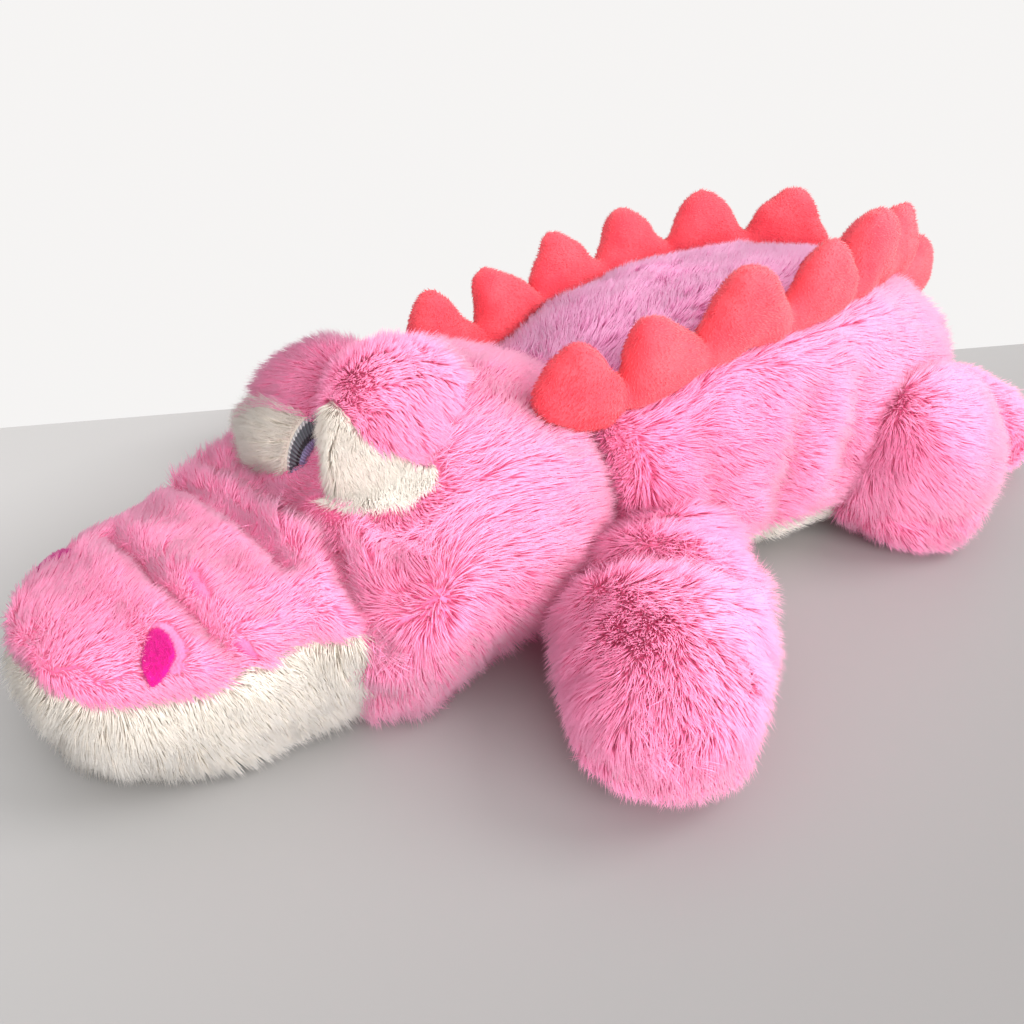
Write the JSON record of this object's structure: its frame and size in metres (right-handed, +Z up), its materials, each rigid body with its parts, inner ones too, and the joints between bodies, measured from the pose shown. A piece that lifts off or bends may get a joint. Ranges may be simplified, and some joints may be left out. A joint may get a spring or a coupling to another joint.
{
  "type": "plush crocodile",
  "caption": "Soft stuffed crocodile that lies on its belly, with shaggy pink fur, coral spikes, a cream jaw and raised eyes.",
  "frame": {"origin": "on the flat of the belly, on the middle line of the body, where the toy rests on a surface", "axes": "-Y towards the snout, +X towards the toy's own left side, +Z up"},
  "size_m": [0.442, 0.5881, 0.1726],
  "materials": {
    "pink_plush": "long shaggy pile",
    "lilac_pink_plush": "long shaggy pile",
    "cream_plush": "long shaggy pile",
    "coral_plush": "short smooth pile",
    "magenta_plush": "satin stitch",
    "lavender_thread": "satin stitch",
    "fibre_filling": "loose fibre"
  },
  "bodies": {
    "body": {"back_panel": "lilac_pink_plush", "left_side_panel": "pink_plush", "right_side_panel": "pink_plush", "belly_panel": "cream_plush", "body_filling": "fibre_filling", "left_spike_row": "coral_plush", "right_spike_row": "coral_plush"},
    "head": {"snout_panel": "pink_plush", "jaw_panel": "cream_plush", "left_cheek_panel": "pink_plush", "right_cheek_panel": "pink_plush", "head_filling": "fibre_filling", "left_brow": "pink_plush", "right_brow": "pink_plush", "left_eye_patch": "cream_plush", "right_eye_patch": "cream_plush", "left_iris": "lavender_thread", "right_iris": "lavender_thread", "left_nostril": "magenta_plush", "right_nostril": "magenta_plush"},
    "tail": {"tail_upper_panel": "pink_plush", "tail_under_panel": "pink_plush", "tail_filling": "fibre_filling"},
    "left_front_leg": {"left_front_leg_upper_panel": "pink_plush", "left_front_leg_sole_panel": "pink_plush", "left_front_leg_filling": "fibre_filling"},
    "left_rear_leg": {"left_rear_leg_upper_panel": "pink_plush", "left_rear_leg_sole_panel": "pink_plush", "left_rear_leg_filling": "fibre_filling"},
    "right_front_leg": {"right_front_leg_upper_panel": "pink_plush", "right_front_leg_sole_panel": "pink_plush", "right_front_leg_filling": "fibre_filling"},
    "right_rear_leg": {"right_rear_leg_upper_panel": "pink_plush", "right_rear_leg_sole_panel": "pink_plush", "right_rear_leg_filling": "fibre_filling"}
  },
  "joints": [
    {"name": "neck_turn", "type": "hinge", "parent": "body", "child": "head", "pos_m": [0.006, -0.154, 0.058], "axis": [0, 0, 1], "range_deg": [-10, 10], "stiffness_Nm_per_rad": 0.3},
    {"name": "tail_lift", "type": "hinge", "parent": "body", "child": "tail", "pos_m": [0.0195, 0.18785, 0.056], "axis": [0.8191, -0.5736, 0], "range_deg": [0, 25], "stiffness_Nm_per_rad": 0.05},
    {"name": "left_front_leg_lift", "type": "hinge", "parent": "body", "child": "left_front_leg", "pos_m": [0.1, -0.05, 0.062], "axis": [0, -1, 0], "range_deg": [0, 25], "stiffness_Nm_per_rad": 0.05},
    {"name": "left_rear_leg_lift", "type": "hinge", "parent": "body", "child": "left_rear_leg", "pos_m": [0.08, 0.076, 0.09], "axis": [0, -1, 0], "range_deg": [0, 25], "stiffness_Nm_per_rad": 0.05},
    {"name": "right_front_leg_lift", "type": "hinge", "parent": "body", "child": "right_front_leg", "pos_m": [-0.1, -0.05, 0.062], "axis": [0, 1, 0], "range_deg": [0, 25], "stiffness_Nm_per_rad": 0.05},
    {"name": "right_rear_leg_lift", "type": "hinge", "parent": "body", "child": "right_rear_leg", "pos_m": [-0.08, 0.076, 0.09], "axis": [0, 1, 0], "range_deg": [0, 25], "stiffness_Nm_per_rad": 0.05}
  ]
}
